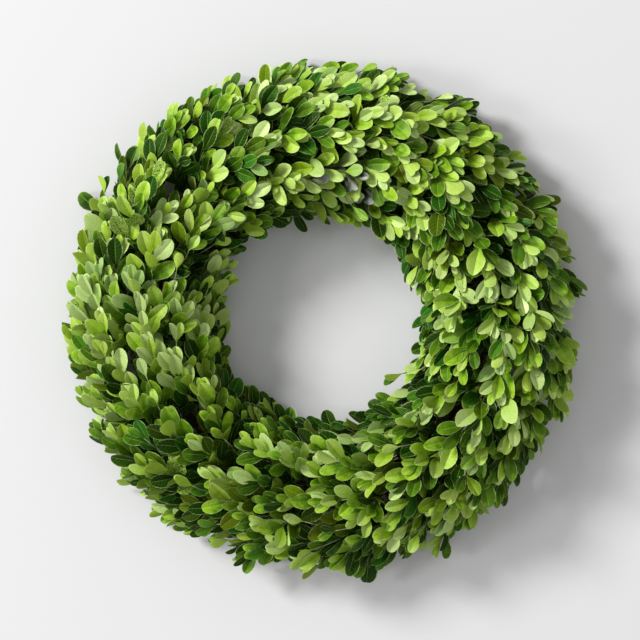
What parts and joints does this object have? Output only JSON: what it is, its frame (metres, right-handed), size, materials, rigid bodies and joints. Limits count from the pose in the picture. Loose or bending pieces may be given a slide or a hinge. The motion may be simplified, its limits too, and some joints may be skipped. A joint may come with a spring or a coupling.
{
  "type": "boxwood wreath",
  "caption": "Round wreath of boxwood sprigs wired in overlapping bunches on a ring of bent vine, lying on its flat back with an open middle.",
  "frame": {"origin": "middle of the ring, on the surface that its flat back lies on", "axes": "+Z out of the wreath's face, away from its back; +Y to the top of the picture and +X to its right"},
  "size_m": [0.4106, 0.4055, 0.0882],
  "materials": {
    "boxwood_green": "satin",
    "vine_bark": "matte",
    "green_wire": "satin"
  },
  "bodies": {
    "root": {"vine_hoop_outer": "vine_bark", "vine_hoop_inner": "vine_bark", "vine_hoop_top": "vine_bark", "bunch_outer_01": "boxwood_green", "bunch_top_01": "boxwood_green", "bunch_inner_01": "boxwood_green", "bunch_outer_02": "boxwood_green", "bunch_top_02": "boxwood_green", "bunch_inner_02": "boxwood_green", "bunch_outer_03": "boxwood_green", "bunch_top_03": "boxwood_green", "bunch_inner_03": "boxwood_green", "bunch_outer_04": "boxwood_green", "bunch_top_04": "boxwood_green", "bunch_inner_04": "boxwood_green", "bunch_outer_05": "boxwood_green", "bunch_top_05": "boxwood_green", "bunch_inner_05": "boxwood_green", "bunch_outer_06": "boxwood_green", "bunch_top_06": "boxwood_green", "bunch_inner_06": "boxwood_green", "bunch_outer_07": "boxwood_green", "bunch_top_07": "boxwood_green", "bunch_inner_07": "boxwood_green", "bunch_outer_08": "boxwood_green", "bunch_top_08": "boxwood_green", "bunch_inner_08": "boxwood_green", "bunch_outer_09": "boxwood_green", "bunch_top_09": "boxwood_green", "bunch_inner_09": "boxwood_green", "bunch_outer_10": "boxwood_green", "bunch_top_10": "boxwood_green", "bunch_inner_10": "boxwood_green", "bunch_outer_11": "boxwood_green", "bunch_top_11": "boxwood_green", "bunch_inner_11": "boxwood_green", "bunch_outer_12": "boxwood_green", "bunch_top_12": "boxwood_green", "bunch_inner_12": "boxwood_green", "bunch_outer_13": "boxwood_green", "bunch_top_13": "boxwood_green", "bunch_inner_13": "boxwood_green", "bunch_outer_14": "boxwood_green", "bunch_top_14": "boxwood_green", "bunch_inner_14": "boxwood_green", "tie_01": "green_wire", "tie_02": "green_wire", "tie_03": "green_wire", "tie_04": "green_wire", "tie_05": "green_wire", "tie_06": "green_wire", "tie_07": "green_wire", "tie_08": "green_wire", "tie_09": "green_wire", "tie_10": "green_wire", "tie_11": "green_wire", "tie_12": "green_wire", "tie_13": "green_wire", "tie_14": "green_wire"}
  },
  "joints": []
}
